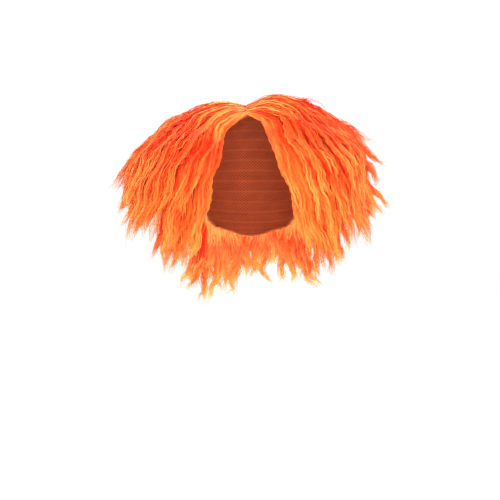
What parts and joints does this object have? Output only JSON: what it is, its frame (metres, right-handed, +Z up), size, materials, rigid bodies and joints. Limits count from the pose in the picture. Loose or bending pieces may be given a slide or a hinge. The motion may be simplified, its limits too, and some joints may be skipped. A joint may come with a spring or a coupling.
{
  "type": "clown wig",
  "caption": "Bright orange crimped wig, parted in the middle and combed out into two wide wings over a stretch cap.",
  "frame": {"origin": "top of the head, on the inside of the cap, where the wig sits on the head that holds it", "axes": "+Z up along the head, -Y out of the face opening, +X towards the right wing as seen from the front"},
  "size_m": [0.3722, 0.2451, 0.2831],
  "materials": {
    "hair": "crimped synthetic hair fibre with a soft sheen",
    "cap_net": "matte stretch net"
  },
  "bodies": {
    "root": {"cap": "cap_net", "top_weft_left": "hair", "top_weft_right": "hair", "side_weft_left": "hair", "side_weft_right": "hair", "ear_weft_left": "hair", "ear_weft_right": "hair", "crown_weft": "hair", "back_weft": "hair", "nape_weft": "hair"}
  },
  "joints": []
}
